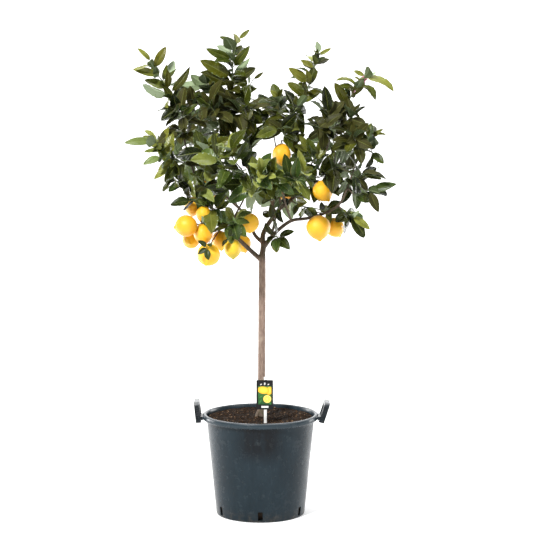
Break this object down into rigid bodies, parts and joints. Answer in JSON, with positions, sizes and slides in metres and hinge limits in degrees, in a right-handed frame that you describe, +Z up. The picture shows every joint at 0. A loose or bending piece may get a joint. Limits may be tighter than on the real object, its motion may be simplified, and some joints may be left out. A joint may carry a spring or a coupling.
{
  "type": "potted lemon tree",
  "caption": "Young grafted lemon tree with a clear trunk, a wide leafy crown of ripe fruit and flower buds, in a round nursery container with side handles and a plant label.",
  "frame": {"origin": "middle of the pot's flat base, where it stands on the ground", "axes": "+Z up along the trunk; the front, with the plant label, faces -Y; the handles are at -X and +X"},
  "size_m": [0.91, 0.776, 1.67],
  "materials": {
    "pot_plastic": "satin",
    "bark_soil": "matte",
    "bark": "matte",
    "label_card": "satin",
    "label_stake": "satin",
    "yellow_peel": "satin",
    "green_peel": "satin",
    "leaf": "satin"
  },
  "bodies": {
    "root": {"pot": "pot_plastic", "soil": "bark_soil", "wood": "bark", "label_card": "label_card", "label_stake": "label_stake", "lemon_1": "yellow_peel", "lemon_2": "yellow_peel", "lemon_3": "yellow_peel", "lemon_4": "yellow_peel", "lemon_5": "yellow_peel", "lemon_6": "yellow_peel", "lemon_7": "yellow_peel", "lemon_8": "yellow_peel", "lemon_9": "yellow_peel", "lemon_10": "yellow_peel", "lemon_11": "yellow_peel", "lemon_12": "green_peel", "lemon_13": "yellow_peel", "lemon_14": "yellow_peel", "lemon_15": "yellow_peel", "lemon_16": "yellow_peel", "spray_left_top": "leaf", "spray_left_mid": "leaf", "spray_left_rise": "leaf", "spray_left_low": "leaf", "spray_left_under": "leaf", "spray_left_inner": "leaf", "spray_top_left": "leaf", "spray_top_spike": "leaf", "spray_centre": "leaf", "spray_left_crown": "leaf", "spray_middle_left": "leaf", "spray_middle_spike": "leaf", "spray_middle_arch": "leaf", "spray_flower": "leaf", "spray_right_tall": "leaf", "spray_right_top": "leaf", "spray_right_side": "leaf", "spray_right_low": "leaf", "spray_over_fruit": "leaf", "spray_right_inner": "leaf", "spray_low_pair": "leaf", "spray_fruit_left": "leaf", "spray_fruit_mid": "leaf", "spray_front_left": "leaf", "spray_front_mid": "leaf", "spray_front_right": "leaf", "spray_front_fruit": "leaf", "spray_back_top": "leaf", "spray_back_mid": "leaf", "spray_back_low": "leaf", "spray_back_left_top": "leaf", "spray_back_left_out": "leaf", "spray_back_left_low": "leaf", "spray_right_back_top": "leaf", "spray_right_back_low": "leaf", "spray_parallel": "leaf", "spray_left_cover": "leaf", "spray_core": "leaf", "spray_inner_mid": "leaf"}
  },
  "joints": []
}
